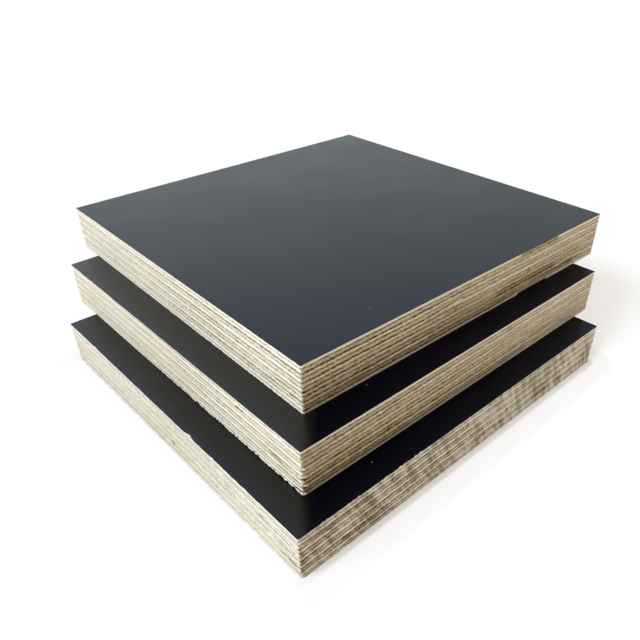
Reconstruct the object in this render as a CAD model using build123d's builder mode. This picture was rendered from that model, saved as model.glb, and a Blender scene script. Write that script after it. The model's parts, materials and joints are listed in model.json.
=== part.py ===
from build123d import *
from collections import namedtuple
import os

# Three film-faced plywood sheets lie on each other, staggered like stairs towards the back corner.
# Lengths are in millimetres, with Z up and the origin under the centre of the bottom sheet.

# Thickness of each layer that a sheet is pressed from
film_thickness = 0.12
face_thickness = 1.18
crossband_thickness = 1.8
longband_thickness = 1.6
crossband_count = 5

# Sawn outline of each sheet: its length runs along X and its width along Y.
# Its left edge faces -X and its front edge -Y, and both start from its front corner.
bottom_length = 157.3
bottom_width = 150.8
middle_length = 155.0
middle_width = 154.6
top_length = 157.9
top_width = 155.5

# The bottom sheet lies a quarter turn from the others, so its crossbands end at the other edge
bottom_band_edge = "left"
middle_band_edge = "front"
top_band_edge = "front"

# Where each upper sheet's centre lies over the origin, and its turn in degrees
middle_shift_x = 10.0
middle_shift_y = 12.5
middle_turn = -0.21
top_shift_x = 22.9
top_shift_y = 23.5
top_turn = -0.86

# The saw leaves the soft crossbands a little behind the other veneers
crossband_setback = 0.06

# A crossband is laid from strips, and an open joint between two strips shows as a slot in its end grain
strip_gap_width = 0.8
strip_gap_depth = 36.0

# Splinters that the saw tore out of the lower arris along a sheet's left edge
tear_width = 3.4
tear_depth = 1.3
tear_height = 1.1
tear_lean_share = 0.3

# Chips out of the bottom sheet's upper film along its left edge
chip_width = 5.0
chip_depth = 0.8
chip_lean_share = -0.2

# Back veneer broken away under the top sheet's front edge
break_length = 19.0
break_depth = 0.7
break_height = 0.9
break_place_share = 0.725
break_slope_share = 0.08

# Back veneer split from the crossband at the middle sheet's front corner
split_length = 5.6
split_reach = 3.4
split_height = 0.8

# How far every cut starts outside the edge that it opens
cut_overrun = 1.0

# Places along an edge, as shares of it from the front corner, each with its size as a share of the largest
middle_tear_shares = (
    (0.030, 0.70), (0.064, 1.00), (0.098, 0.55), (0.141, 0.90), (0.183, 0.65), (0.222, 0.45),
    (0.268, 0.95), (0.312, 0.60), (0.367, 0.85), (0.421, 0.50), (0.488, 0.75), (0.571, 0.60),
)
top_tear_shares = (
    (0.085, 0.35), (0.152, 0.50), (0.215, 0.40), (0.284, 0.65), (0.327, 0.75), (0.396, 0.45),
)
bottom_chip_shares = ((0.168, 0.45), (0.285, 0.50), (0.378, 1.00), (0.602, 0.40), (0.843, 0.55))

# Open strip joints: the crossband's number from below, and the joint's place as a share of the edge
bottom_gap_shares = ((1, 0.78), (2, 0.47), (4, 0.12))
middle_gap_shares = ((2, 0.08), (2, 0.23), (3, 0.71))
top_gap_shares = ((2, 0.14), (3, 0.43), (3, 0.70))

Layer = namedtuple("Layer", "name low high setback")
Sheet = namedtuple("Sheet", "name length width place turn band_edge")
Cut = namedtuple("Cut", "points low high")


def press_layers():
    """Every layer of a sheet from its underside up, each lying on the one before."""
    stock = [("lower_film", film_thickness, 0), ("back_veneer", face_thickness, 0)]
    for number in range(1, crossband_count + 1):
        stock.append((f"crossband_{number}", crossband_thickness, crossband_setback))
        if number < crossband_count:
            stock.append((f"longband_{number}", longband_thickness, 0))
    stock += [("face_veneer", face_thickness, 0), ("upper_film", film_thickness, 0)]
    layers = {}
    low = 0
    for name, thickness, setback in stock:
        layers[name] = Layer(name, low, low + thickness, setback)
        low += thickness
    return layers


layers = press_layers()
sheet_thickness = layers["upper_film"].high

bottom_place = (0, 0, 0)
bottom_sheet = Sheet("bottom_sheet", bottom_length, bottom_width, bottom_place, 0, bottom_band_edge)
middle_place = (middle_shift_x, middle_shift_y, sheet_thickness)
middle_sheet = Sheet("middle_sheet", middle_length, middle_width, middle_place, middle_turn, middle_band_edge)
top_place = (top_shift_x, top_shift_y, 2 * sheet_thickness)
top_sheet = Sheet("top_sheet", top_length, top_width, top_place, top_turn, top_band_edge)


def spot(sheet, edge, along, inward):
    """A place on a sheet, by its distance along an edge from the front corner and inward from that edge."""
    if edge == "left":
        return inward - sheet.length / 2, along - sheet.width / 2
    return along - sheet.length / 2, inward - sheet.width / 2


def bite(sheet, edge, place_share, width, depth, lean_share, low, high):
    """A three-cornered bite out of an edge, its tip leaning along the edge."""
    middle = place_share * (sheet.width if edge == "left" else sheet.length)
    outline = (
        (middle - width / 2, -cut_overrun),
        (middle - width / 2, 0),
        (middle + lean_share * width, depth),
        (middle + width / 2, 0),
        (middle + width / 2, -cut_overrun),
    )
    return Cut([spot(sheet, edge, along, inward) for along, inward in outline], low, high)


def torn_splinters(sheet, tear_shares):
    """Splinters torn out of the lower arris along the left edge: the film and part of the back veneer."""
    return [
        bite(
            sheet, "left", place_share, size_share * tear_width, size_share * tear_depth, tear_lean_share,
            0, film_thickness + size_share * (tear_height - film_thickness),
        )
        for place_share, size_share in tear_shares
    ]


def film_chips(sheet, chip_shares):
    """Chips out of the upper film along the left edge, with the face veneer left whole under them."""
    film = layers["upper_film"]
    return [
        bite(
            sheet, "left", place_share, size_share * chip_width, size_share * chip_depth, chip_lean_share,
            film.low, film.high,
        )
        for place_share, size_share in chip_shares
    ]


def strip_gaps(sheet, gap_shares):
    """Open joints between the strips of a crossband, running in along its grain and closing to a point."""
    cuts = []
    for number, place_share in gap_shares:
        band = layers[f"crossband_{number}"]
        size = (strip_gap_width, strip_gap_depth)
        cuts.append(bite(sheet, sheet.band_edge, place_share, *size, 0, band.low, band.high))
    return cuts


def broken_veneer(sheet):
    """A long shallow break out of the lower arris along the front edge."""
    start = break_place_share * sheet.length - break_length / 2
    end = start + break_length
    outline = (
        (start, -cut_overrun),
        (end, -cut_overrun),
        (end, break_depth),
        (start + break_slope_share * break_length, break_depth),
        (start, 0),
    )
    return [Cut([spot(sheet, "front", along, inward) for along, inward in outline], 0, break_height)]


def corner_split(sheet):
    """The gap over the back veneer where it has split from the crossband at the front corner."""
    gap_low = layers["back_veneer"].high
    outline = (
        (-cut_overrun, -cut_overrun),
        (split_reach, -cut_overrun),
        (split_reach, 0),
        (0, split_length),
        (-cut_overrun, split_length),
    )
    points = [spot(sheet, "front", along, inward) for along, inward in outline]
    return [Cut(points, gap_low, gap_low + split_height)]


def lay_sheet(sheet, cuts):
    """Makes one sheet layer by layer, and takes out of each layer the part of every cut that reaches it."""
    for layer in layers.values():
        plane = Plane(Location(sheet.place, (0, 0, sheet.turn)))
        with BuildPart() as piece:
            with BuildSketch(plane.offset(layer.low)):
                Rectangle(sheet.length - 2 * layer.setback, sheet.width - 2 * layer.setback)
            extrude(amount=layer.high - layer.low)
            for cut in cuts:
                low = max(cut.low, layer.low)
                high = min(cut.high, layer.high)
                if high > low:
                    with BuildSketch(plane.offset(low)):
                        Polygon(*cut.points, align=None)
                    extrude(amount=high - low, mode=Mode.SUBTRACT)
        piece.part.label = f"{sheet.name}_{layer.name}"
        export_step(piece.part, f"parts/{piece.part.label}.step")


bottom_cuts = film_chips(bottom_sheet, bottom_chip_shares)
bottom_cuts += strip_gaps(bottom_sheet, bottom_gap_shares)
middle_cuts = torn_splinters(middle_sheet, middle_tear_shares)
middle_cuts += corner_split(middle_sheet)
middle_cuts += strip_gaps(middle_sheet, middle_gap_shares)
top_cuts = torn_splinters(top_sheet, top_tear_shares)
top_cuts += broken_veneer(top_sheet)
top_cuts += strip_gaps(top_sheet, top_gap_shares)

os.makedirs("parts", exist_ok=True)
lay_sheet(bottom_sheet, bottom_cuts)
lay_sheet(middle_sheet, middle_cuts)
lay_sheet(top_sheet, top_cuts)
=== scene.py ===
import bpy
import json
import math
import numpy as np
from collections import namedtuple
from mathutils import Matrix, Vector


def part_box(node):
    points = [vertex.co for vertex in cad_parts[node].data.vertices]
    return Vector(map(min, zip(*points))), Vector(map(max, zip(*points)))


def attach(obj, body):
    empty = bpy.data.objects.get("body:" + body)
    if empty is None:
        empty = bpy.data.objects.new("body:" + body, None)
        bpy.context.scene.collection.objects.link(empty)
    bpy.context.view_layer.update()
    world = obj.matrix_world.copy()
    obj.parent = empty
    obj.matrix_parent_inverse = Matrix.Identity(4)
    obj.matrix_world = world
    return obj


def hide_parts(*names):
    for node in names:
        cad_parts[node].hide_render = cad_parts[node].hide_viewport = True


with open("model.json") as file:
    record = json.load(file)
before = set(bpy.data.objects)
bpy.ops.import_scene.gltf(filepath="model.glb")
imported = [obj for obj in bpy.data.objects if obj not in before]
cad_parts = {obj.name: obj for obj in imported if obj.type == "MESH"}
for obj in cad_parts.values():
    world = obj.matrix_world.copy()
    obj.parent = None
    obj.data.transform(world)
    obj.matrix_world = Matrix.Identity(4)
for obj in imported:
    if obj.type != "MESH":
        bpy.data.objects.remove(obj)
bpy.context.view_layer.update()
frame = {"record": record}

# Looks of a stack of three film-faced plywood sheets. Every layer of a sheet is a mesh of its own that
# replaces its solid: its rim follows the sawn edge with grain, glue lines, tear-out and chips.
# Lengths are in metres, apart from the tables that say millimetres.
MM = 0.001

# How the sheets lie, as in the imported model: their turn in degrees, and which way their face grain runs
BOTTOM, MIDDLE, TOP = "bottom_sheet", "middle_sheet", "top_sheet"
SHEET_TURNS = {BOTTOM: 0.0, MIDDLE: -0.21, TOP: -0.86}
FACE_GRAIN_ALONG_X = {BOTTOM: False, MIDDLE: True, TOP: True}

# Sides of a sheet in rim order: the corner that each starts from, its direction, its outward normal and
# the step between its points. Distances along a side count from the front corner's end of it.
FRONT_STEP = 0.45 * MM
LEFT_STEP = 0.35 * MM
HIDDEN_STEP = 0.75 * MM
SIDES = (
    ((-1, -1), (1, 0), (0, -1), FRONT_STEP),
    ((1, -1), (0, 1), (1, 0), HIDDEN_STEP),
    ((1, 1), (-1, 0), (0, 1), HIDDEN_STEP),
    ((-1, 1), (0, -1), (-1, 0), LEFT_STEP),
)
FRONT, RIGHT, BACK, LEFT = range(len(SIDES))

# Rows of a rim as shares of the layer's thickness, and the width of the flat band behind it
VENEER_ROW_SHARES = (0.0, 0.07, 0.28, 0.5, 0.72, 0.93, 1.0)
FILM_ROW_SHARES = (0.0, 0.5, 1.0)
BAND_WIDTH = 6.0 * MM

# Every kind of random draw has a seed of its own, which follows those of the sheet and the layer
(
    END_SEED, LONG_SEED, SAW_SEED, CORNER_SEED, NIBBLE_SEED, TOOTH_SEED, WANDER_SEED, BREAK_SEED,
    NICK_SEED, FIBRE_SEED, LINE_SEED, LINE_WAVE_SEED, STAIN_SEED, STAIN_WAVE_SEED, FILM_CORNER_SEED,
    DOT_SEED, FACET_SEED,
) = range(1, 18)

# Sawn edge of a veneer
CROSSBAND_SETBACK = 0.06 * MM
GROOVE_DEPTH = 0.025 * MM
END_ROUGHNESS = 0.05 * MM
LONG_ROUGHNESS = 0.03 * MM
LONG_ROUGH_STEP = 5.0 * MM
SAW_PITCH = 5.6 * MM
SAW_SLANT = 0.45
SAW_DEPTHS = {BOTTOM: 0.07 * MM, MIDDLE: 0.02 * MM, TOP: 0.02 * MM}
SAW_DRIFT = 1.5
SAW_DRIFT_STEP = 6 * SAW_PITCH
CORNER_REACH = 1.2 * MM
CORNER_LOSS = 0.05 * MM
CORNER_LOSS_SHARES = (0.1, 1.0)

# Front corners: the length of the facet that is worn off every layer but the upper film, and of the longer
# ones where a corner has crumbled, in millimetres
FACET_LENGTH = 0.45 * MM
WORN_CORNERS = {
    BOTTOM: {"lower_film": 1.9, "back_veneer": 1.7, "crossband_1": 0.9},
    MIDDLE: {
        "lower_film": 1.5, "back_veneer": 1.4, "crossband_1": 0.8, "longband_1": 2.0, "crossband_2": 0.9,
        "longband_2": 1.9, "crossband_3": 0.7, "longband_3": 1.5,
    },
}
WORN_SHARES = (0.6, 1.0)

# Rim of a film, and the ragged stretch along the bottom sheet's front edge
FILM_NIBBLE = 0.05 * MM
FILM_NIBBLE_STEP = 3 * FRONT_STEP
FILM_ARRIS = 0.03 * MM
NICK_PITCH = 2.1 * MM
NICK_DEPTH = 0.5 * MM
NICK_LEAST = 0.25
NICKED = (7.0 * MM, 74.0 * MM)
VENEER_NICK_SHARE = 0.5

# Waves of the glue lines: how far and how often every one wanders, and a few bends over laps in the core.
# A bend has its start, peak and end along the front edge and its rise, in millimetres, then the number of
# the boundary and how many others it lifts.
WANDER = 0.14 * MM
WANDER_STEP = 15.0 * MM
BENDS = {
    TOP: ((53.0, 70.0, 72.5, 1.15, 8, 0.8), (131.0, 136.0, 157.0, 0.9, 5, 1.5)),
    MIDDLE: ((96.0, 104.0, 113.0, 0.35, 6, 2.0),),
    BOTTOM: ((74.0, 84.0, 95.0, 0.3, 5, 2.0),),
}

# Splinters torn out of a lower arris, as in the solids: place along the left edge and size, both as shares
TEAR_WIDTH = 3.4 * MM
TEAR_HEIGHT = 1.1 * MM
TEAR_LEAN = 0.3
TEAR_UNDERCUT = 2.1
TEAR_SHARES = {
    MIDDLE: (
        (0.03, 0.7), (0.064, 1.0), (0.098, 0.55), (0.141, 0.9), (0.183, 0.65), (0.222, 0.45),
        (0.268, 0.95), (0.312, 0.6), (0.367, 0.85), (0.421, 0.5), (0.488, 0.75), (0.571, 0.6),
    ),
    TOP: ((0.085, 0.35), (0.152, 0.5), (0.215, 0.4), (0.284, 0.65), (0.327, 0.75), (0.396, 0.45)),
}

# Fine teeth between the splinters, and fibres left standing in them: the gaps between tips and notches as
# shares of the pitch, and their depths as shares of the height
TOOTH_PITCH = 1.9 * MM
TOOTH_HEIGHTS = {MIDDLE: 1.15 * MM, TOP: 0.5 * MM, BOTTOM: 0.12 * MM}
TOOTH_REACH = 120.0 * MM
TOOTH_GAPS = (0.25, 0.75)
NOTCH_DEPTHS = (0.2, 1.0)
TIP_SHARE = 0.1
SPARE_TEETH = 2
FIBRE_PITCH = 1.0 * MM
FIBRE_LEFT = 0.7

# Least and most share of a veneer that a cut from below takes, and the lip between the cut and the sawn edge
CUT_SHARES = (0.02, 0.9)
LIP_SHARE = 0.02

# Back veneer broken away under the top sheet's front edge, as in the solid
BREAK_PLACE_SHARE = 0.725
BREAK_LENGTH = 19.0 * MM
BREAK_DEPTH = 0.6 * MM
BREAK_HEIGHT = 0.9 * MM
BREAK_RAGGED = 0.35

# Back veneer split from the crossband at the middle sheet's front corner: placed as in the solid, half closed
SPLIT_LENGTH = 5.6 * MM
SPLIT_REACH = 3.4 * MM
SPLIT_HEIGHT = 0.5 * MM
SPLIT_DEPTH = 5.0 * MM

# Chips out of the bottom sheet's upper film, at the places of those in the solids and worn round
CHIP_WIDTH = 6.4 * MM
CHIP_DEPTH = 0.68 * MM
CHIP_FULLNESS = 0.8
CHIP_SHARES = {BOTTOM: ((0.168, 0.45), (0.285, 0.5), (0.378, 1.0), (0.602, 0.4), (0.843, 0.55))}

# Open joints between the strips of a crossband, as in the solids: its number and place as a share of the edge
GAP_WIDTH = 0.8 * MM
GAP_DEPTH = 4.5 * MM
GAP_SLANT = 1.8 * MM
GAP_CLOSING = 6.0
GAP_SHARES = {
    BOTTOM: ((1, 0.78), (2, 0.47), (4, 0.12)),
    MIDDLE: ((2, 0.08), (2, 0.23), (3, 0.71)),
    TOP: ((2, 0.14), (3, 0.43), (3, 0.7)),
}

# Stretches of a layer along one side of a sheet, each with its start and end in millimetres and its strength.
# First the dark stretches of a veneer:
STAINS = {
    (TOP, FRONT): {
        "face_veneer": ((105, 126, 0.85),),
        "crossband_5": ((104, 128, 0.35),),
        "crossband_3": ((62, 74, 0.4), (74, 128, 0.32)),
        "longband_2": ((0, 20, 0.56), (60, 130, 0.45)),
        "crossband_2": ((0, 48, 0.5), (54, 92, 0.48), (92, 127, 0.8)),
        "longband_1": ((56, 100, 0.66), (100, 127, 0.74)),
        "crossband_1": ((0, 104, 0.92), (104, 121, 0.8), (121, 141, 0.85)),
        "back_veneer": ((0, 104, 0.52), (106, 124, 0.75)),
    },
    (TOP, LEFT): {"crossband_2": ((0, 80, 0.24),)},
    (MIDDLE, FRONT): {
        "crossband_5": ((0, 15, 0.28),),
        "longband_4": ((0, 15, 0.3),),
        "longband_3": ((0, 15, 0.3),),
        "longband_2": ((0, 18, 0.4),),
        "crossband_2": ((0, 40, 0.58), (60, 77, 0.35), (118, 126, 0.5)),
        "crossband_1": ((0, 44, 0.9), (44, 108, 0.74)),
        "back_veneer": ((0, 100, 0.58),),
    },
    (MIDDLE, LEFT): {"longband_2": ((11, 14, 0.7),)},
    (BOTTOM, FRONT): {
        "longband_4": ((7, 28, 0.45),),
        "longband_2": ((115, 121, 0.5),),
        "longband_1": (
            (17, 28, 0.55), (84, 95, 0.6), (115, 123, 0.7), (131, 135, 0.6), (140, 147, 0.5),
        ),
    },
}

# Stretches of a veneer that are darker and greyer
GREYED_STRETCHES = {
    (TOP, FRONT): {"back_veneer": ((0, 104, 0.5),)},
    (MIDDLE, FRONT): {"back_veneer": ((0, 110, 0.85),)},
    (MIDDLE, LEFT): {"face_veneer": ((4, 36, 0.35), (42, 114, 0.7))},
    (BOTTOM, FRONT): {"face_veneer": ((56, 132, 0.75),)},
    (BOTTOM, LEFT): {
        "face_veneer": ((0, 36, 0.45), (42, 116, 0.85), (122, 151, 0.4)),
        "crossband_5": ((0, 40, 0.3),),
        "crossband_1": ((80, 112, 0.25),),
    },
}

# Glue lines that stand out, by the layer under the line
STRONG_LINES = {
    (TOP, FRONT): {
        "longband_4": ((0, 54, 1.0),),
        "longband_2": ((0, 48, 0.95),),
        "crossband_2": ((0, 14, 1.0), (96, 127, 0.95), (127, 146, 0.6)),
        "longband_1": ((4, 34, 0.95), (90, 130, 0.9)),
        "crossband_1": ((120, 147, 0.9),),
        "back_veneer": ((0, 100, 0.95),),
    },
    (TOP, LEFT): {
        "longband_4": ((2, 44, 0.8),),
        "crossband_2": ((7, 12, 0.95), (42, 47, 0.75)),
        "longband_1": ((2, 5, 0.9), (14, 17, 0.9)),
    },
    (MIDDLE, FRONT): {
        "longband_2": ((13, 19, 1.0),),
        "crossband_2": ((20, 26, 0.95),),
        "longband_1": ((0, 45, 0.95),),
        # The strength-2 mark at the front corner darkens the split over the back veneer as painted shade
        "back_veneer": ((0, 0, 2.0), (6, 62, 0.85)),
    },
    # As at the front, the strength-2 mark darkens the split over the back veneer as painted shade
    (MIDDLE, LEFT): {"longband_4": ((29, 32, 0.9),), "back_veneer": ((0, 2, 2.0),)},
    # Dark foot of the bottom sheet's front: its lower film, and painted shadow of the gap under it
    (BOTTOM, FRONT): {"lower_film": ((0, 90, 0.9),)},
    (BOTTOM, LEFT): {"longband_1": ((2, 8, 0.8),)},
}

# Glue lines that show as a row of dots, by the layer under the line
DOTTED_LINES = {
    (TOP, FRONT): {"face_veneer": ((108, 124, 1.0),), "crossband_5": ((2, 50, 1.0), (106, 130, 1.0))},
    (BOTTOM, FRONT): {"crossband_5": ((20, 66, 1.0),)},
}
STRETCH_FADE = 3.0 * MM
DOT_STEP = 1.1 * MM
DOT_CONTRAST = 4.0

# How strongly glue lines, stains, figure and the resin under the upper film show on the front, right, back
# and left side of each sheet. The stronger glue lines, stains and figure on the front are partly painted
# shade: the shade that light raking across the front faces puts in their grooves and pores.
LINE_AND_GROOVE_SHADE_BY_SIDE = {BOTTOM: (0.9, 0.6, 0.6, 0.45), MIDDLE: (1.0, 0.6, 0.85, 0.65), TOP: (1.0, 0.6, 0.85, 0.75)}
STAIN_AND_SHADE_BY_SIDE = {BOTTOM: (0.25, 0.35, 0.6, 0.45), MIDDLE: (1.0, 0.35, 1.0, 0.3), TOP: (1.0, 0.35, 1.0, 0.3)}
FIGURE_AND_SHADE_BY_SIDE = {BOTTOM: (0.8, 0.5, 0.8, 0.4), MIDDLE: (1.0, 0.5, 1.0, 0.4), TOP: (1.0, 0.5, 1.0, 0.4)}
RESIN_BY_SIDE = {BOTTOM: (0.0, 0.5, 0.4, 0.7), MIDDLE: (0.25, 0.5, 0.4, 0.9), TOP: (0.15, 0.3, 0.3, 0.3)}

# How resin and glue lines waver: mean strength, swing and step. The lines fade away from the front corner.
RESIN_WAVE = (0.8, 0.2, 6.0 * MM)
LINE_WAVE = (0.88, 0.25, 18.0 * MM)
LINE_DARKNESS = (0.82, 1.0)
LINE_FAR_SHARE = 0.42
LINE_FADE = (35.0 * MM, 125.0 * MM)

# Lower veneers are darker than upper ones, partly as painted shade under the step of the sheet below and
# partly stained, and all are darker near the front corner and at the far left
LOWEST_SHADE_AND_STAIN = 0.46
STAIN_SPREAD = 0.09
STAIN_WAVE = (0.0, 0.12, 20.0 * MM)
CORNER_STAIN = 0.2
CORNER_STAIN_REACH = 40.0 * MM
FAR_STAINS = {BOTTOM: 0.2, MIDDLE: 0.2, TOP: 0.12}
FAR_STAIN_RISE = (20.0 * MM, 75.0 * MM)

# Camera, fitted to the edge lines of the sheets in the photograph
CAMERA_PLACE = (-0.14128, -0.16464, 0.15588)
CAMERA_AIM = (0.54151, 0.59825, -0.59065)
CAMERA_ROLL_DEG = 0.6328
CAMERA_FOCAL_PX = 620.55
CAMERA_CLIP_START = 10.0 * MM
IMAGE_PX = 640
PRINCIPAL_PX = (345.5, 365.5)
SENSOR_MM = 36.0


def smooth_step(value):
    """0 to 1 as value goes from 0 to 1, level at both ends."""
    value = np.clip(value, 0, 1)
    return value * value * (3 - 2 * value)


def ramp(value, start, end):
    """0 to 1, smoothly, as value goes from start to end."""
    return smooth_step((value - start) / (end - start))


def draw(seed, span, size=None):
    """Random numbers within a span."""
    return np.random.default_rng(seed).uniform(*span, size)


def lattice_noise(places, step, seed, period):
    """Smooth noise from -1 to 1 with a new random value every step; it closes over the period."""
    count = max(2, round(period / step))
    cells = places / period * count
    values = draw(seed, (-1, 1), count)
    low = np.floor(cells).astype(int)
    share = smooth_step(cells - low)
    return values[low % count] * (1 - share) + values[(low + 1) % count] * share


class Rim:
    """The points around a sheet's sawn outline, from the front corner round by the right."""

    def __init__(self, length, width):
        self.length, self.width = length, width
        half = np.array((length, width)) / 2
        sides = []
        for number, (corner, direction, normal, step) in enumerate(SIDES):
            run = length if direction[0] else width
            count = round(run / step)
            u = np.arange(count) / count * run
            points = np.array(corner) * half + u[:, None] * np.array(direction)
            outward = np.tile(np.array(normal, float), (count, 1))
            along = u if number in (FRONT, RIGHT) else run - u
            sides.append((points, outward, np.full(count, number), np.minimum(u, run - u), along))
        joined = (np.concatenate(parts) for parts in zip(*sides))
        self.points, self.outward, self.side, self.corner_gap, self.along = joined
        past_half = np.roll(self.corner_gap, -1) < self.corner_gap
        self.corner = (self.side + past_half) % len(SIDES)
        self.count = len(self.points)
        for start in np.flatnonzero(np.diff(self.side, prepend=-1)):
            self.outward[start] += self.outward[start - 1]
        gaps = np.linalg.norm(np.diff(self.points, axis=0, append=self.points[:1]), axis=1)
        self.run = np.concatenate([[0], np.cumsum(gaps)[:-1]])
        self.girth = float(gaps.sum())

    def from_front_corner(self, side):
        """Distance along the left or the front side from the front corner; far off elsewhere."""
        place = np.where(self.side == side, self.along, np.inf)
        if side == LEFT:
            place[0] = 0
        return place

    def stretch(self, side, start, end):
        """1 between two places along a side, fading to 0 just outside it."""
        rise = smooth_step((self.along - start) / STRETCH_FADE + 1)
        fall = smooth_step((end - self.along) / STRETCH_FADE + 1)
        return np.where(self.side == side, rise * fall, 0)

    def noise(self, step, seed):
        return lattice_noise(self.run, step, seed, self.girth)

    def wave(self, mean, swing, step, seed):
        return mean + swing * self.noise(step, seed)

    def row_noise(self, rows, step, seed):
        """Noise for each point of each row, with neighbouring rows half alike."""
        own = [self.noise(step, (*seed, k)) for k in range(rows + 1)]
        return np.stack([(own[k] + own[k + 1]) / 2 for k in range(rows)])


class Sheet:
    """One sheet as it lies in the frame: its outline, place and layers from the underside up."""

    def __init__(self, name):
        self.name = name
        turn = math.radians(SHEET_TURNS[name])
        low, high = (np.array(corner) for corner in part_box(f"{name}_face_veneer"))
        cosine, sine = abs(math.cos(turn)), abs(math.sin(turn))
        spans = np.linalg.solve(np.array(((cosine, sine), (sine, cosine))), (high - low)[:2])
        self.rim = Rim(*spans)
        self.layers = [
            (entry["node"], entry["material_slot"])
            for entry in frame["record"]["subparts"]
            if entry["node"].startswith(name)
        ]
        self.names = [node.removeprefix(f"{name}_") for node, _ in self.layers]
        boxes = [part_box(node) for node, _ in self.layers]
        floor = boxes[0][0][2]
        self.levels = [box[0][2] - floor for box in boxes] + [boxes[-1][1][2] - floor]
        centre = (low + high) / 2
        place = Matrix.Translation((centre[0], centre[1], floor))
        self.matrix = place @ Matrix.Rotation(turn, 4, "Z")
        self.seed = list(SHEET_TURNS).index(name) + 1
        self.bounds = [self.boundary(k) for k in range(len(self.levels))]
        self.torn_height, self.torn_depth = self.arris_loss()

    def grain_along_x(self, slot):
        """Which way a veneer's grain runs: a crossband's lies across that of the face veneers."""
        return (slot != "crossband") == FACE_GRAIN_ALONG_X[self.name]

    def end_sides(self, slot):
        """The two sides on which a veneer shows its end grain."""
        return (RIGHT, LEFT) if self.grain_along_x(slot) else (FRONT, BACK)

    def boundary(self, k):
        """Height of the k-th boundary between layers: flat at the film, wavy inside."""
        wave = np.zeros(self.rim.count)
        if 1 < k < len(self.levels) - 2:
            wave = WANDER * self.rim.noise(WANDER_STEP, (self.seed, k, WANDER_SEED))
            place = self.rim.from_front_corner(FRONT)
            for *lengths, centre, spread in BENDS[self.name]:
                start, peak, end, rise = (length * MM for length in lengths)
                share = ramp(place, start, peak) * ramp(place, end, peak)
                wave = wave + rise * share * math.exp(-(((k - centre) / spread) ** 2))
        return self.levels[k] + wave

    def arris_loss(self):
        """Height and depth to which the lower arris is torn: splinters, fine teeth and one long break."""
        rim = self.rim
        left = rim.from_front_corner(LEFT)
        places = np.where(np.isinf(left), 0, left)
        tears = TEAR_SHARES.get(self.name, ())
        height = bites(left, rim.width, tears, TEAR_WIDTH, TEAR_HEIGHT, TEAR_LEAN)
        height *= 1 - FIBRE_LEFT * teeth(places, FIBRE_PITCH, (self.seed, FIBRE_SEED))
        fine = TOOTH_HEIGHTS[self.name] * teeth(places, TOOTH_PITCH, (self.seed, TOOTH_SEED))
        fine = fine * smooth_step(2 - 2 * left / TOOTH_REACH)
        height = np.maximum(height, np.where(rim.side == LEFT, fine, 0))
        depth = TEAR_UNDERCUT * height
        if self.name == TOP:
            from_middle = rim.from_front_corner(FRONT) - BREAK_PLACE_SHARE * rim.length
            inside = np.abs(from_middle) < BREAK_LENGTH / 2
            ragged = 1 - BREAK_RAGGED * teeth(rim.along, TOOTH_PITCH, (self.seed, BREAK_SEED))
            height = np.where(inside, BREAK_HEIGHT * ragged, height)
            depth = np.where(inside, BREAK_DEPTH, depth)
        return height, depth


def bites(place, size, shares, width, depth, lean=0.0):
    """Depth of a row of three-cornered bites at every place along a side of that size."""
    total = np.zeros(len(place))
    for share, scale in shares:
        offset = (place - share * size) / (scale * width)
        rise = np.clip((offset + 0.5) / (0.5 + lean), 0, 1)
        fall = np.clip((0.5 - offset) / (0.5 - lean), 0, 1)
        total = np.maximum(total, scale * depth * np.minimum(rise, fall))
    return total


def teeth(places, pitch, seed):
    """A ragged row of teeth along places: 0 at each tip and up to 1 in each notch."""
    rng = np.random.default_rng(seed)
    count = 2 * (int(np.max(places) / pitch) + SPARE_TEETH)
    spots = np.cumsum(rng.uniform(*TOOTH_GAPS, count)) * pitch
    depths = rng.uniform(*NOTCH_DEPTHS, count)
    depths[::2] *= TIP_SHARE
    return np.interp(places, spots, depths)


def undercut(sheet, index):
    """Where a veneer is cut away from below: the cut's height over its lower face and its depth, or None."""
    rim, name = sheet.rim, sheet.names[index]
    if name == "back_veneer":
        return np.maximum(sheet.torn_height - sheet.levels[index], 0), sheet.torn_depth
    if sheet.name == MIDDLE and name == "crossband_1":
        left = np.clip(1 - rim.from_front_corner(LEFT) / SPLIT_LENGTH, 0, 1)
        front = np.clip(1 - rim.from_front_corner(FRONT) / SPLIT_REACH, 0, 1)
        share = np.sqrt(np.maximum(left, front))
        return SPLIT_HEIGHT * share, SPLIT_DEPTH * share
    return None


def veneer_rows(sheet, index):
    """Height share of every rim point of a veneer, row by row, and how deep the cut from below goes there."""
    shares = np.tile(np.array(VENEER_ROW_SHARES)[:, None], sheet.rim.count)
    cut = undercut(sheet, index)
    if cut is None:
        return shares, np.zeros_like(shares)
    height, depth = cut
    thickness = sheet.bounds[index + 1] - sheet.bounds[index]
    ceiling = np.clip(height / thickness, *CUT_SHARES)
    above = ceiling + LIP_SHARE + (1 - ceiling - LIP_SHARE) * shares
    shares = np.concatenate([[np.zeros(sheet.rim.count), ceiling], above])
    depths = np.zeros_like(shares)
    depths[:2] = np.where(height > 0, depth, 0)
    return shares, depths


def veneer_inset(sheet, index, shares):
    """How far each point of a veneer's rim stands behind the sheet's outline, row by row."""
    name, slot = sheet.names[index], sheet.layers[index][1]
    inset = sawn_roughness(sheet, index, len(shares))
    inset[0] += GROOVE_DEPTH
    inset[-1] += GROOVE_DEPTH
    if slot == "crossband":
        inset += CROSSBAND_SETBACK
    inset += saw_waves(sheet, index, shares)
    inset += corner_loss(sheet.rim, (sheet.seed, index, CORNER_SEED))
    if name == "face_veneer":
        inset[-2:] += VENEER_NICK_SHARE * film_nicks(sheet)
    for number, share in GAP_SHARES[sheet.name]:
        if name == f"crossband_{number}":
            inset += strip_gap(sheet.rim, shares, share, FRONT if FRONT in sheet.end_sides(slot) else LEFT)
    return inset


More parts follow.
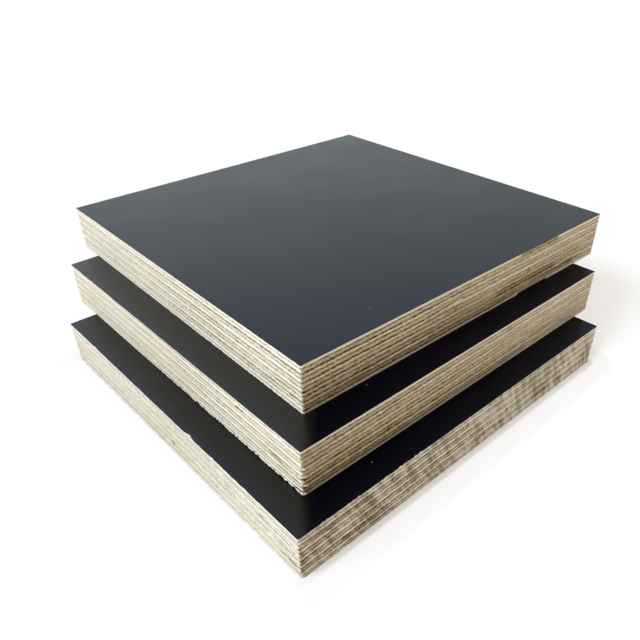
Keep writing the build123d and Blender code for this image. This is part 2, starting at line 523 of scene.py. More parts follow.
def sawn_roughness(sheet, index, rows):
    """Roughness of a veneer's rim, row by row: fine over end grain, in long waves along the grain."""
    seed = (sheet.seed, index)
    end = np.isin(sheet.rim.side, sheet.end_sides(sheet.layers[index][1]))
    fine = sheet.rim.row_noise(rows, FRONT_STEP, (*seed, END_SEED))
    long = sheet.rim.row_noise(rows, LONG_ROUGH_STEP, (*seed, LONG_SEED))
    return np.where(end, END_ROUGHNESS * (1 + fine) / 2, LONG_ROUGHNESS * (1 + long) / 2)


def saw_waves(sheet, index, shares):
    """Depth of the slanted waves that the saw left in a veneer's rim, row by row."""
    low, high = sheet.bounds[index : index + 2]
    heights = low + (high - low) * shares
    phase = (sheet.rim.run + SAW_SLANT * heights) / SAW_PITCH * 2 * math.pi
    phase = phase + SAW_DRIFT * sheet.rim.noise(SAW_DRIFT_STEP, (sheet.seed, SAW_SEED))
    return SAW_DEPTHS[sheet.name] * (1 + np.sin(phase)) / 2


def strip_gap(rim, shares, place_share, side):
    """Depth of an open joint between two strips of a crossband: a slanted slit that closes at both faces."""
    size = rim.length if side == FRONT else rim.width
    place = rim.from_front_corner(side) - place_share * size
    offset = (place - GAP_SLANT * (shares - 0.5)) / (GAP_WIDTH / 2)
    closing = np.minimum(GAP_CLOSING * shares * (1 - shares), 1)
    return GAP_DEPTH * np.sqrt(np.clip(closing - offset**2, 0, 1))


def corner_loss(rim, seed):
    """How far a layer's corners are rounded off."""
    loss = CORNER_LOSS * draw(seed, CORNER_LOSS_SHARES, len(SIDES))
    return loss[rim.corner] * np.clip(1 - rim.corner_gap / CORNER_REACH, 0, 1) ** 2


def corner_facet(sheet, index, rows):
    """How far each point by the front corner moves in along the diagonal, row by row: a crumbling facet."""
    name = sheet.names[index]
    worn = WORN_CORNERS.get(sheet.name, {}).get(name, 0.0) * MM
    crumbled = worn * draw((sheet.seed, index, FACET_SEED), WORN_SHARES, (rows, 1))
    facet = np.maximum(FACET_LENGTH * (name != "upper_film"), crumbled)
    gap = np.where(sheet.rim.corner == 0, sheet.rim.corner_gap, np.inf)
    return np.clip(facet - gap, 0, None) / 2


def film_nicks(sheet):
    """Depth of the ragged nicks in the bottom sheet's upper arris."""
    if sheet.name != BOTTOM:
        return np.zeros(sheet.rim.count)
    ragged = np.maximum(teeth(sheet.rim.along, NICK_PITCH, (sheet.seed, NICK_SEED)) - NICK_LEAST, 0)
    return NICK_DEPTH * ragged * sheet.rim.stretch(FRONT, *NICKED)


def film_chips(sheet):
    """Depth of the chips out of the upper film along the left edge, rounded off."""
    left = sheet.rim.from_front_corner(LEFT)
    chips = CHIP_SHARES.get(sheet.name, ())
    return CHIP_DEPTH * smooth_step(bites(left, sheet.rim.width, chips, CHIP_WIDTH, CHIP_FULLNESS))


def film_inset(sheet, index):
    """How far each point of a film's rim stands behind the sheet's outline, row by row."""
    seed = (sheet.seed, index)
    nibble = FILM_NIBBLE * (1 + sheet.rim.noise(FILM_NIBBLE_STEP, (*seed, NIBBLE_SEED))) / 2
    inset = np.tile(nibble, (len(FILM_ROW_SHARES), 1))
    inset += corner_loss(sheet.rim, (*seed, FILM_CORNER_SEED))
    if sheet.names[index] == "upper_film":
        inset += film_nicks(sheet) + film_chips(sheet)
        inset[-1] += FILM_ARRIS
    else:
        inset += sheet.torn_depth
        inset[0] += FILM_ARRIS
    return inset


def by_side(sheet, table):
    """The sheet's row of a table by side, spread over the rim."""
    return np.array(table[sheet.name])[sheet.rim.side]


def marked(sheet, index, stretches):
    """Strength of the listed stretches of one layer."""
    strength = np.zeros(sheet.rim.count)
    for side in (FRONT, LEFT):
        layers = stretches.get((sheet.name, side), {})
        for start, end, most in layers.get(sheet.names[index], ()):
            strength = np.maximum(strength, most * sheet.rim.stretch(side, start * MM, end * MM))
    return strength


def line_strength(sheet, k):
    """How dark the glue or resin at the k-th boundary is."""
    rim = sheet.rim
    seed = (sheet.seed, k)
    if k == sheet.names.index("upper_film"):
        resin = by_side(sheet, RESIN_BY_SIDE) * rim.wave(*RESIN_WAVE, (*seed, LINE_WAVE_SEED))
        return np.maximum(resin * (film_chips(sheet) == 0), dotted_line(sheet, k))
    base = draw((*seed, LINE_SEED), LINE_DARKNESS) * (k > sheet.names.index("back_veneer"))
    # Side strength: the stronger glue lines on the front are partly painted shade in the grooves
    strength = base * rim.wave(*LINE_WAVE, (*seed, LINE_WAVE_SEED)) * by_side(sheet, LINE_AND_GROOVE_SHADE_BY_SIDE)
    far = np.where(np.isin(rim.side, (FRONT, LEFT)), ramp(rim.along, *LINE_FADE), 0)
    strength *= 1 - (1 - LINE_FAR_SHARE) * far
    strength = np.maximum(strength, marked(sheet, k - 1, STRONG_LINES))
    return np.maximum(strength, dotted_line(sheet, k))


def dotted_line(sheet, k):
    """Strength of the row of dark dots at the k-th boundary."""
    dots = smooth_step(DOT_CONTRAST * sheet.rim.noise(DOT_STEP, (sheet.seed, k, DOT_SEED)))
    return dots * marked(sheet, k - 1, DOTTED_LINES)


def stain_and_shade_strength(sheet, index):
    """How dark a veneer is."""
    rim = sheet.rim
    seed = (sheet.seed, index)
    base = draw((*seed, STAIN_SEED), (0, STAIN_SPREAD))
    # Painted shade: lower veneers darker, as under the step of the sheet below
    base += LOWEST_SHADE_AND_STAIN * (1 - sheet.levels[index] / sheet.levels[-1]) ** 2
    base += CORNER_STAIN * np.clip(1 - rim.from_front_corner(FRONT) / CORNER_STAIN_REACH, 0, 1)
    base *= sheet.names[index] != "face_veneer"
    # Side strength: stains show more on the front, partly as painted shade
    strength = (base + rim.wave(*STAIN_WAVE, (*seed, STAIN_WAVE_SEED))) * by_side(sheet, STAIN_AND_SHADE_BY_SIDE)
    strength += np.where(rim.side == LEFT, FAR_STAINS[sheet.name] * ramp(rim.along, *FAR_STAIN_RISE), 0)
    return np.clip(np.maximum(strength, marked(sheet, index, STAINS)), 0, 1)


def layer_points(sheet, index, shares, inset):
    """Points of one layer: its rim row by row, then the inner borders of the lower and the upper band."""
    rim = sheet.rim
    low, high = sheet.bounds[index : index + 2]
    rings = []
    for share, depth, facet in zip(shares, inset, corner_facet(sheet, index, len(shares))):
        outline = rim.points - rim.outward * depth[:, None] + facet[:, None]
        rings.append(np.column_stack([outline, low + (high - low) * share]))
    behind = rim.points * (1 - BAND_WIDTH / np.array((rim.length, rim.width)) * 2)
    for level in sheet.levels[index : index + 2]:
        rings.append(np.column_stack([behind, np.full(rim.count, level)]))
    return np.concatenate(rings)


def layer_faces(rows, count):
    """Faces of one layer as point numbers: quads of its rim and bands, then its upper and lower middle."""
    rings = np.arange((rows + 2) * count).reshape(-1, count)
    under_band, top_band = rings[rows:]
    quads = [ring_quads(rings[k], rings[k + 1]) for k in range(rows - 1)]
    quads.append(ring_quads(rings[rows - 1], top_band))
    quads.append(ring_quads(under_band, rings[0]))
    return np.concatenate(quads), top_band, under_band[::-1]


def ring_quads(lower, upper):
    """Quads between two rings of point numbers, facing outward where lower lies under upper."""
    return np.stack([lower, np.roll(lower, -1), np.roll(upper, -1), upper], axis=1)


def layer_mesh(sheet, index, shares, inset):
    """A closed mesh of one layer: its rim row by row, a band on each broad side and a flat middle."""
    count = sheet.rim.count
    points = layer_points(sheet, index, shares, inset)
    quads, *middles = layer_faces(len(shares), count)
    loops = np.concatenate([quads.ravel(), *middles])
    starts = np.concatenate([np.arange(0, quads.size, quads.shape[1]), quads.size + np.array((0, count))])
    mesh = bpy.data.meshes.new(sheet.layers[index][0])
    mesh.vertices.add(len(points))
    mesh.vertices.foreach_set("co", points.ravel())
    mesh.loops.add(len(loops))
    mesh.loops.foreach_set("vertex_index", loops)
    mesh.polygons.add(len(starts))
    mesh.polygons.foreach_set("loop_start", starts)
    mesh.update(calc_edges=True)
    mesh.shade_flat()
    store(mesh, "through", "POINT", np.concatenate([shares.ravel(), np.zeros(count), np.ones(count)]))
    return mesh


def store(mesh, name, domain, values):
    mesh.attributes.new(name, "FLOAT", domain).data.foreach_set("value", values.astype(np.float32))


def mark_veneer(mesh, sheet, index, rows):
    """Stores what the veneer's material needs: end grain, glue lines, stains with painted shade, figure and
    the sawn side.
    """
    sides = np.tile(sheet.rim.side, rows + 1)
    caps = np.zeros(len(mesh.polygons) - len(sides))
    end = np.isin(sides, sheet.end_sides(sheet.layers[index][1]))
    store(mesh, "end_grain", "FACE", np.concatenate([end, caps]))
    low_line, high_line = line_strength(sheet, index), line_strength(sheet, index + 1)
    lines = [low_line] * (rows // 2) + [high_line] * (rows - rows // 2) + [low_line, high_line]
    store(mesh, "line", "POINT", np.concatenate(lines))
    store(mesh, "stain_and_shade", "POINT", np.tile(stain_and_shade_strength(sheet, index), rows + 2))
    # Figure by side: stronger on the front, partly as painted shade
    store(mesh, "figure", "POINT", np.tile(by_side(sheet, FIGURE_AND_SHADE_BY_SIDE), rows + 2))
    store(mesh, "greyed", "POINT", np.tile(marked(sheet, index, GREYED_STRETCHES), rows + 2))
    if sheet.name == BOTTOM:
        store(mesh, "sawn", "FACE", np.concatenate([sides == FRONT, caps]))


def veneer_mesh(sheet, index):
    shares, depths = veneer_rows(sheet, index)
    mesh = layer_mesh(sheet, index, shares, veneer_inset(sheet, index, shares) + depths)
    mark_veneer(mesh, sheet, index, len(shares))
    return mesh


def film_mesh(sheet, index):
    shares = np.tile(np.array(FILM_ROW_SHARES)[:, None], sheet.rim.count)
    return layer_mesh(sheet, index, shares, film_inset(sheet, index))


# Noise in a material: the size of its cells along each axis in millimetres, a shift that sets it apart,
# and its fineness. The shifts of the next material lie a step further on.
Pattern = namedtuple("Pattern", "sizes shift detail roughness", defaults=(2.0, 0.55))
SHIFT_STEP = 20.0


class Nodes:
    """Adds nodes to the tree of a material or a world with short calls."""

    def __init__(self, owner, coordinates):
        owner.use_nodes = True
        self.tree = owner.node_tree
        self.place = self.add("TexCoord").outputs[coordinates]

    def add(self, kind, inputs=None, **settings):
        """A new node with these settings, its inputs linked or set by name or number."""
        node = self.tree.nodes.new(f"ShaderNode{kind}")
        for name, value in settings.items():
            setattr(node, name, value)
        for key, value in (inputs or {}).items():
            self.link(value, node.inputs[key])
        return node

    def link(self, value, socket):
        if isinstance(value, bpy.types.NodeSocket):
            self.tree.links.new(value, socket)
        else:
            socket.default_value = value

    def axes(self):
        """The place's X, Y and Z, by name."""
        return self.add("SeparateXYZ", {"Vector": self.place}).outputs

    def stretch(self, sizes, turn=0.0):
        """Coordinates in which one unit is the given size in millimetres along each axis."""
        scale = tuple(size * MM for size in sizes)
        inputs = {"Scale": scale, "Rotation": (0.0, turn, 0.0), "Vector": self.place}
        return self.add("Mapping", inputs, vector_type="TEXTURE").outputs["Vector"]

    def noise(self, pattern, shift=0.0, turn=0.0):
        inputs = {
            "Vector": self.stretch(pattern.sizes, turn), "W": shift + pattern.shift, "Scale": 1.0,
            "Detail": pattern.detail, "Roughness": pattern.roughness,
        }
        return self.add("TexNoise", inputs, noise_dimensions="4D").outputs["Fac"]

    def math(self, operation, first, second=0.0):
        return self.add("Math", {0: first, 1: second}, operation=operation).outputs["Value"]

    def times(self, *factors):
        total = factors[0]
        for factor in factors[1:]:
            total = self.math("MULTIPLY", total, factor)
        return total

    def fade(self, value, start, end, low=0.0, high=1.0):
        """value from start to end becomes low to high, smoothly."""
        inputs = {"Value": value, "From Min": start, "From Max": end, "To Min": low, "To Max": high}
        return self.add("MapRange", inputs, interpolation_type="SMOOTHSTEP").outputs["Result"]

    def mix(self, share, first, second, blend="MIX"):
        """The first colour, going over into the second as share goes from 0 to 1."""
        inputs = {"Factor": share}
        for name, colour in (("A", first), ("B", second)):
            inputs[name] = colour if isinstance(colour, bpy.types.NodeSocket) else (*colour, 1.0)
        return self.add("Mix", inputs, data_type="RGBA", blend_type=blend).outputs["Result"]

    def cover(self, colour, new, *shares):
        """The colour, going over into a new one as the product of the shares goes to 1."""
        return self.mix(self.times(*shares), colour, new)

    def darken(self, colour, tint, *shares):
        """The colour, multiplied by a tint where the product of the shares is 1."""
        return self.mix(self.times(*shares), colour, tint, "MULTIPLY")


class Shader(Nodes):
    """Builds one material's nodes."""

    def __init__(self, name):
        self.material = bpy.data.materials.new(name)
        super().__init__(self.material, "Object")
        self.surface = self.tree.nodes["Principled BSDF"]

    def attribute(self, name):
        return self.add("Attribute", attribute_name=name).outputs["Fac"]

    def set(self, name, value):
        self.link(value, self.surface.inputs[name])

    def bump(self, height, distance, strength):
        """Relief of that height, where 1 stands for the distance."""
        node = self.add("Bump", {"Distance": distance, "Strength": strength, "Height": height})
        self.set("Normal", node.outputs["Normal"])


# Colours of a sawn veneer, along the grain and across it, and how strongly its figure and scorch marks show
VENEER_COLOURS = {
    "face_veneer": ((0.97, 0.955, 0.905), (0.88, 0.855, 0.78)),
    "crossband": ((0.885, 0.865, 0.77), (0.82, 0.775, 0.63)),
    "longband": ((0.985, 0.94, 0.805), (0.8, 0.775, 0.68)),
}
BOTTOM_COLOURS = {
    "face_veneer": ((0.931, 0.93, 0.881), (0.854, 0.851, 0.803)),
    "crossband": ((0.86, 0.855, 0.775), (0.775, 0.755, 0.672)),
    "longband": ((0.865, 0.852, 0.775), (0.795, 0.78, 0.695)),
}
FIGURE_SHARES = {"face_veneer": 0.4, "crossband": 1.0, "longband": 1.0}
SCORCH_SHARES = {"face_veneer": 0.2, "crossband": 1.0, "longband": 1.0}
GLUE_COLOUR = (0.028, 0.015, 0.005)
HALO_TINT = (0.8, 0.71, 0.57)
# Stain tint, which also darkens lower veneers and front faces as painted shade
STAIN_AND_SHADE_TINT = (0.35, 0.27, 0.17)
GREYING_TINT = (0.72, 0.76, 0.79)
FIBRE_TINT = (0.64, 0.585, 0.5)
WARM_TINT = (0.96, 0.88, 0.8)
MOTTLE_TINT = (0.7, 0.65, 0.58)
PORE_COLOUR = (0.1, 0.062, 0.03)
SAWDUST_COLOUR = (0.95, 0.93, 0.85)
SCORCHED_TINT = (0.66, 0.61, 0.54)
BAND_TINT = (0.67, 0.635, 0.58)
VENEER_GLOSS = 0.06

# Patterns of a sawn veneer, each followed by the ranges of it over which a mark comes in, with the mark's
# strength at both ends of a range where that isn't 0 and 1
FIBRE_ALONG_X = Pattern((7.0, 0.34, 0.34), 0, 4.0, 0.65)
FIBRE_ALONG_Y = Pattern((0.34, 7.0, 0.34), 0, 4.0, 0.65)
FIBRE_HEIGHT = 0.05 * MM
FIBRE_BUMP = 0.7
FIBRE_RANGE = (0.4, 0.72)
STREAK_LEAST = 0.5
ROUGHNESS_RANGE = (0.3, 0.7, 0.74, 0.92)
WARMTH = Pattern((16, 16, 2.2), 3, 1.0)
WARM_RANGE = (0.5, 0.72)
MOTTLE = Pattern((2.0, 2.0, 0.8), 7, 3.0, 0.7)
MOTTLE_RANGE = (0.46, 0.68)
FLECK = Pattern((0.6, 0.6, 0.45), 5)
STAIN_RANGE = (0.3, 0.62, 0.65, 1.0)
PORE_RANGE = (0.56, 0.68)
PORE_SHARE = 0.75

# Glue lines: half their width, how it wavers, how strong a broken line's gaps are, and how the glue and the
# brown beside it end, counted in half widths from the face
GLUE_HALF_WIDTHS = {"face_veneer": 0.22 * MM, "crossband": 0.31 * MM, "longband": 0.31 * MM}
RAGGED = Pattern((1.2, 1.2, 0.7), 9)
REACH_RANGE = (0.3, 0.7, 0.35, 1.5)
BROKEN = Pattern((2.6, 2.6, 0.9), 12, 1.0)
DASH_RANGE = (0.36, 0.54)
DASH_LOWS = {BOTTOM: 0.2, MIDDLE: 0.65, TOP: 0.65}
GLUE_BORDER = (1.15, 0.6)
HALO_BORDER = (2.4, 0.8)

# Saw marks, with the lean of the slanted ones as an angle
SAW_LEAN = -0.45
PATCH = Pattern((4.5, 60, 0.26), 41, 3.0, 0.6)
SCORCH_RANGE = (0.34, 0.62, 0.1, 0.8)
SMEAR_RANGE = (0.42, 0.54, 0.0, 0.85)
MIDDLE_BORDER = (0.34, 0.14)
SAW_BAND = Pattern((2.7, 60, 14), 40)
DARK_BAND_RANGE = (0.52, 0.36)
PALE_BAND_RANGE = (0.5, 0.64, 0.0, 0.5)
SCRATCH = Pattern((0.4, 60, 12), 43, 1.0)
SCRATCH_RANGE = (0.56, 0.7, 0.0, 0.4)


def veneer_material(sheet, slot, thickness, shift):
    """Sawn veneer edge: streaks along the grain, pores in the end grain, dark glue lines at both faces."""
    shader = Shader(f"{sheet.name}_{slot}")
    end = shader.attribute("end_grain")
    colours = BOTTOM_COLOURS if sheet.name == BOTTOM else VENEER_COLOURS
    fibre = shader.noise(FIBRE_ALONG_X if sheet.grain_along_x(slot) else FIBRE_ALONG_Y, shift)
    colour = wood_figure(shader, shader.mix(end, *colours[slot]), fibre, FIGURE_SHARES[slot], shift)
    fleck = shader.noise(FLECK, shift)
    # Stains, with painted shade on the lower veneers and the front faces, darken the colour
    colour = shader.darken(colour, STAIN_AND_SHADE_TINT, shader.attribute("stain_and_shade"), shader.fade(fleck, *STAIN_RANGE))
    colour = shader.darken(colour, GREYING_TINT, shader.attribute("greyed"))
    colour = shader.cover(colour, PORE_COLOUR, shader.fade(fleck, *PORE_RANGE), end, PORE_SHARE)
    if sheet.name == BOTTOM:
        colour = saw_marks(shader, colour, end, SCORCH_SHARES[slot], shift)
    glue, halo = glue_lines(shader, thickness / GLUE_HALF_WIDTHS[slot], shift, DASH_LOWS[sheet.name])
    colour = shader.darken(colour, HALO_TINT, halo)
    shader.set("Base Color", shader.cover(colour, GLUE_COLOUR, glue))
    shader.set("Roughness", shader.fade(fibre, *ROUGHNESS_RANGE))
    shader.set("Specular IOR Level", VENEER_GLOSS)
    shader.bump(fibre, FIBRE_HEIGHT, FIBRE_BUMP)
    return shader.material


def wood_figure(shader, colour, fibre, most, shift):
    """The colour with streaks along the grain, warm clouds and mottling."""
    seen = shader.attribute("figure")
    streaks = shader.fade(fibre, *FIBRE_RANGE, 0.0, most)
    colour = shader.darken(colour, FIBRE_TINT, streaks, shader.fade(seen, 0.0, 1.0, STREAK_LEAST, 1.0))
    figure = shader.times(seen, most)
    for pattern, span, tint in ((WARMTH, WARM_RANGE, WARM_TINT), (MOTTLE, MOTTLE_RANGE, MOTTLE_TINT)):
        colour = shader.darken(colour, tint, shader.fade(shader.noise(pattern, shift), *span, 0.0, figure))
    return colour


def glue_lines(shader, widths, shift, dash_low):
    """Shares of dark glue, in broken lines of uneven width along both faces, and of the brown beside it."""
    through = shader.attribute("through")
    to_face = shader.math("MINIMUM", through, shader.math("SUBTRACT", 1.0, through))
    reach = shader.fade(shader.noise(RAGGED, shift), *REACH_RANGE)
    near = shader.math("DIVIDE", shader.times(to_face, widths), reach)
    broken = shader.fade(shader.noise(BROKEN, shift), *DASH_RANGE, dash_low, 1.0)
    dashes = shader.times(shader.attribute("line"), broken)
    glue = shader.times(shader.fade(near, *GLUE_BORDER), dashes)
    return glue, shader.times(shader.fade(near, *HALO_BORDER), dashes)


def saw_marks(shader, colour, end, scorch_share, shift):
    """Marks of a blunt saw on the bottom sheet's front edge: scorching, a pale smear along the middle of
    each crossband, and slanted dark bands and pale scratches."""
    sawn = shader.attribute("sawn")
    patch = shader.noise(PATCH, shift)
    off_middle = shader.math("ABSOLUTE", shader.math("SUBTRACT", shader.attribute("through"), 0.5))
    middle = shader.times(shader.math("SUBTRACT", 1.0, end), shader.fade(off_middle, *MIDDLE_BORDER))
    beside = shader.math("SUBTRACT", 1.0, middle)
    scorched = shader.fade(patch, *SCORCH_RANGE)
    colour = shader.darken(colour, SCORCHED_TINT, sawn, beside, scorched, scorch_share)
    colour = shader.cover(colour, SAWDUST_COLOUR, sawn, middle, shader.fade(patch, *SMEAR_RANGE))
    band = shader.noise(SAW_BAND, turn=SAW_LEAN)
    colour = shader.darken(colour, BAND_TINT, sawn, shader.fade(band, *DARK_BAND_RANGE))
    colour = shader.cover(colour, SAWDUST_COLOUR, sawn, shader.fade(band, *PALE_BAND_RANGE))
    scratch = shader.noise(SCRATCH, turn=SAW_LEAN)
    return shader.cover(colour, SAWDUST_COLOUR, sawn, shader.fade(scratch, *SCRATCH_RANGE))


# Film of the top sheet, with the two colours of its clouds, and films of the other two, with a colour and
# gloss along the front edge, darker and duller as painted shade, and along the left one, paler, warmer and
# glossier from dust and a painted reflection of the lit wood above
TOP_FILM_COLOURS = ((0.001, 0.0014, 0.0032), (0.0022, 0.0028, 0.0056))
TOP_FILM_GLOSS = 0.3
STEP_FILM_SHADE_AND_REFLECTION_COLOURS = {
    BOTTOM: ((0.0006, 0.0007, 0.0036), (0.004, 0.003, 0.0022)),
    MIDDLE: ((0.0006, 0.0007, 0.0036), (0.0072, 0.0062, 0.0044)),
}
STEP_FILM_SHADE_AND_REFLECTION_GLOSS = {BOTTOM: (0.085, 0.36), MIDDLE: (0.075, 0.44)}
# Gloss tints of the films: a painted blue of the sky in their reflections
SKY_REFLECTION_GLOSS_TINTS = {BOTTOM: (0.8, 0.88, 0.91), MIDDLE: (0.76, 0.88, 1.0), TOP: (0.76, 0.88, 1.0)}
TURN_FROM = -7.0 * MM
TURN_TO = 2.0 * MM
CLOUD = Pattern((34, 24, 30), 0, 3.0)
CLOUD_RANGE = (0.3, 0.7)
FILM_ROUGHNESS = (0.26, 0.33)
PEEL = Pattern((0.8, 0.8, 0.8), 4)
PEEL_HEIGHT = 0.012 * MM
PEEL_BUMP = 0.3

# Dust: the size of its cells in millimetres, and the share of them with a speck, which fades from the middle
DUST_COLOUR = (0.45, 0.44, 0.42)
DUST_SIZES = (11, 11, 300)
DUST_SHARES = {BOTTOM: 0.45, MIDDLE: 0.45, TOP: 0.15}
DUST_SHARE_FADE = 0.05
SPECK_RANGE = (0.03, 0.018)
SPECK_STRENGTH = 0.6


def film_material(sheet):
    """Satin dark film: faint orange peel, cloudy gloss and a few specks of dust."""
    shader = Shader(f"{sheet.name}_film")
    cloud = shader.noise(CLOUD)
    shader.set("Specular IOR Level", TOP_FILM_GLOSS)
    if sheet.name == TOP:
        colour = shader.mix(shader.fade(cloud, *CLOUD_RANGE), *TOP_FILM_COLOURS)
    else:
        # Front edge darker and duller as painted shade; left edge paler from dust and a painted reflection
        left = left_share(shader, sheet)
        colour = shader.mix(left, *STEP_FILM_SHADE_AND_REFLECTION_COLOURS[sheet.name])
        shader.set("Specular IOR Level", shader.fade(left, 0.0, 1.0, *STEP_FILM_SHADE_AND_REFLECTION_GLOSS[sheet.name]))
    shader.set("Base Color", shader.cover(colour, DUST_COLOUR, *dust_specks(shader, DUST_SHARES[sheet.name])))
    shader.set("Roughness", shader.fade(cloud, *CLOUD_RANGE, *FILM_ROUGHNESS))
    # Painted blue sky tint on the film's reflections
    shader.set("Specular Tint", (*SKY_REFLECTION_GLOSS_TINTS[sheet.name], 1.0))
    shader.bump(shader.noise(PEEL), PEEL_HEIGHT, PEEL_BUMP)
    return shader.material


def dust_specks(shader, share):
    """Shares of dust at a place of a film: a speck in the middle of that share of the cells."""
    cells = shader.add("TexVoronoi", {"Scale": 1.0, "Vector": shader.stretch(DUST_SIZES)}).outputs
    number = shader.add("SeparateColor", {"Color": cells["Color"]}).outputs["Red"]
    chosen = shader.fade(number, share, share - DUST_SHARE_FADE)
    return shader.fade(cells["Distance"], *SPECK_RANGE), chosen, SPECK_STRENGTH


def left_share(shader, sheet):
    """1 where a place of a film is nearer to the left edge than to the front one, with a soft turn."""
    axes = shader.axes()
    across = shader.math("SUBTRACT", axes["Y"], axes["X"])
    diagonal = (sheet.rim.length - sheet.rim.width) / 2
    return shader.fade(across, diagonal + TURN_FROM, diagonal + TURN_TO)


def dress_sheet(sheet):
    """Builds every layer of a sheet in place of its solid."""
    materials = {"film": film_material(sheet)}
    for index, (node, slot) in enumerate(sheet.layers):
        if slot not in materials:
            thickness = sheet.levels[index + 1] - sheet.levels[index]
            shift = sheet.seed + SHIFT_STEP * len(materials)
            materials[slot] = veneer_material(sheet, slot, thickness, shift)
        mesh = film_mesh(sheet, index) if slot == "film" else veneer_mesh(sheet, index)
        mesh.materials.append(materials[slot])
        piece = add_object(f"{node}_look", mesh)
        piece.matrix_world = sheet.matrix
        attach(piece, "root")
        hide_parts(node)


def add_object(name, data):
    item = bpy.data.objects.new(name, data)
    bpy.context.scene.collection.objects.link(item)
    return item


def set_camera():
    """The photograph's viewing angle; the shift stands for the way the photograph was cropped."""
    data = bpy.data.cameras.new("camera")
    data.sensor_width = SENSOR_MM
    data.lens = SENSOR_MM * CAMERA_FOCAL_PX / IMAGE_PX
    data.shift_x = (IMAGE_PX / 2 - PRINCIPAL_PX[0]) / IMAGE_PX
    data.shift_y = (PRINCIPAL_PX[1] - IMAGE_PX / 2) / IMAGE_PX
    data.clip_start = CAMERA_CLIP_START
    aim = Vector(CAMERA_AIM).to_track_quat("-Z", "Y").to_matrix().to_4x4()
    roll = Matrix.Rotation(math.radians(-CAMERA_ROLL_DEG), 4, "Z")
    camera = add_object("camera", data)
    camera.matrix_world = Matrix.Translation(CAMERA_PLACE) @ aim @ roll
    bpy.context.scene.camera = camera


# The floor that the camera sees, the light that it throws back, and how it goes over into white
FLOOR_REACH = 4.0
FLOOR_LEVEL = -0.05 * MM
FLOOR_COLOUR = (0.91, 0.925, 0.95)
FLOOR_BOUNCE = (0.52, 0.51, 0.49)
FLOOR_ROUGHNESS = 0.9
SHADOW_FROM = 1.5 * MM
SHADOW_TO = 3.0 * MM
WHITE_REACH = 12.0 * MM
WHITE_AT_STACK = 0.15
WHITE_NEAR = 0.76

# The shadow past the stack's right side: how dark it is, where it starts and ends going out, where it ends
# at the back, and its front border, which spreads and slants further out
CAST_SHARE = 0.42
CAST_START = (-2.0 * MM, 3.0 * MM)
CAST_END = (115.0 * MM, 60.0 * MM)
CAST_BACK = (120.0 * MM, 60.0 * MM)
CAST_BORDER = (-2.0 * MM, 1.0 * MM)
CAST_BORDER_SLANTS = (-0.28, 0.45)


def set_floor():
    """A plain floor that keeps the stack's shadow."""
    mesh = bpy.data.meshes.new("floor")
    corners = [(x * FLOOR_REACH, y * FLOOR_REACH, FLOOR_LEVEL) for (x, y), *_ in SIDES]
    mesh.from_pydata(corners, [], [range(len(corners))])
    mesh.materials.append(floor_material())
    floor = add_object("floor", mesh)


def floor_material():
    """Pale floor that goes over into white around the stack."""
    shader = Shader("floor")
    seen = shader.add("LightPath").outputs["Is Camera Ray"]
    shader.set("Base Color", shader.mix(seen, FLOOR_BOUNCE, FLOOR_COLOUR))
    shader.set("Roughness", FLOOR_ROUGHNESS)
    away = distance_from_stack(shader)
    close = shader.fade(away, SHADOW_FROM, SHADOW_TO, WHITE_AT_STACK, WHITE_NEAR)
    share = shader.math("MAXIMUM", close, shader.fade(away, SHADOW_TO, WHITE_REACH))
    share = shader.times(share, shader.fade(cast_shadow(shader), 0.0, 1.0, 1.0, 1.0 - CAST_SHARE))
    glow = shader.add("Emission").outputs["Emission"]
    inputs = {"Fac": shader.times(seen, share), 1: shader.surface.outputs["BSDF"], 2: glow}
    blend = shader.add("MixShader", inputs).outputs["Shader"]
    shader.link(blend, shader.tree.nodes["Material Output"].inputs["Surface"])
    return shader.material


def cast_shadow(shader):
    """1 on the floor in the shadow past the stack's right side, fading to 0 all round it."""
    axes = shader.axes()
    low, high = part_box("bottom_sheet_back_veneer")
    out = shader.math("SUBTRACT", axes["X"], high[0])
    behind = shader.math("SUBTRACT", axes["Y"], low[1])
    slants = [shader.times(out, slant) for slant in CAST_BORDER_SLANTS]
    border = [shader.math("ADD", slant, place) for slant, place in zip(slants, CAST_BORDER)]
    beside = shader.times(shader.fade(behind, *border), shader.fade(axes["Y"], *CAST_BACK))
    return shader.times(beside, shader.fade(out, *CAST_START), shader.fade(out, *CAST_END))


def distance_from_stack(shader):
    """Distance of a place on the floor from the bottom sheet's outline."""
    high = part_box("bottom_sheet_back_veneer")[1]
    steps = {"ABSOLUTE": None, "SUBTRACT": (high[0], high[1], FLOOR_REACH), "MAXIMUM": (0.0, 0.0, 0.0)}
    place = shader.place
    for operation, value in steps.items():
        inputs = {0: place, 1: value} if value else {0: place}
        place = shader.add("VectorMath", inputs, operation=operation).outputs["Vector"]
    return shader.add("VectorMath", {0: place}, operation="LENGTH").outputs["Value"]


# The room that the film mirrors: its colour low down and high up, how it dims from the back to the right, and
# the ranges of direction over which it changes
ROOM_LOW = (1.02, 1.15, 1.11)
ROOM_HIGH = (1.06, 1.12, 1.34)
ROOM_RIGHT_SHARE = 0.72
ROOM_RISE = (0.25, 0.6)
ROOM_TURN = (-0.5, 0.6)

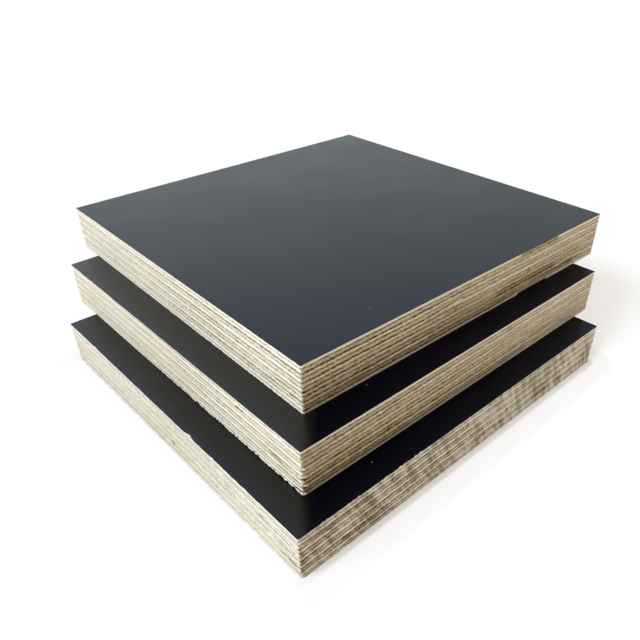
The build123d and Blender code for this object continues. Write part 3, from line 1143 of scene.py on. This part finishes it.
# Warm fill all round, and lamps with their colour, place, aim, size across and power
FILL_COLOUR = (1.0, 0.82, 0.595)
FILL_STRENGTH = 0.595
WHITE = (1.0, 1.0, 1.0)
LAMPS = {
    "key": ((0.8, 0.89, 1.0), (-1.4, 0.12, 0.92), (0.0, 0.0, 0.02), 1.0, 29.4),
    "side": ((0.86, 0.95, 1.0), (0.32, -0.26, 0.18), (0.08, -0.06, 0.03), 0.2, 0.24),
}


def set_world():
    """A warm fill for the wood, a room for the film to mirror and white behind it all."""
    world = bpy.data.worlds.new("studio")
    bpy.context.scene.world = world
    shader = Nodes(world, "Generated")
    fill = shader.tree.nodes["Background"]
    shader.link((*FILL_COLOUR, 1.0), fill.inputs["Color"])
    shader.link(FILL_STRENGTH, fill.inputs["Strength"])
    room = shader.add("Background", {"Color": room_colour(shader)})
    white = shader.add("Background", {"Color": (*WHITE, 1.0)})
    path = shader.add("LightPath").outputs
    surface = fill
    for seen_by, background in (("Is Glossy Ray", room), ("Is Camera Ray", white)):
        inputs = {"Fac": path[seen_by], 1: surface.outputs[0], 2: background.outputs[0]}
        surface = shader.add("MixShader", inputs)
    shader.link(surface.outputs[0], shader.tree.nodes["World Output"].inputs["Surface"])


def room_colour(shader):
    """Colour of the mirrored room by direction."""
    axes = shader.axes()
    colour = shader.mix(shader.fade(axes["Z"], *ROOM_RISE), ROOM_LOW, ROOM_HIGH)
    sideways = shader.math("SUBTRACT", axes["X"], axes["Y"])
    return shader.darken(colour, (ROOM_RIGHT_SHARE,) * 3, shader.fade(sideways, *ROOM_TURN))


def set_lamps():
    """Soft studio light: a large lamp on the left and a faint one by the right end."""
    for name, (colour, place, aim, size, power) in LAMPS.items():
        data = bpy.data.lights.new(name, "AREA")
        data.shape = "DISK"
        data.size = size
        data.energy = power
        data.color = colour
        lamp = add_object(name, data)
        lamp.location = place
        lamp.rotation_euler = (Vector(aim) - lamp.location).to_track_quat("-Z", "Y").to_euler()


for sheet_name in SHEET_TURNS:
    dress_sheet(Sheet(sheet_name))
set_camera()
set_floor()
set_world()
set_lamps()
bpy.context.scene.view_settings.view_transform = "Standard"
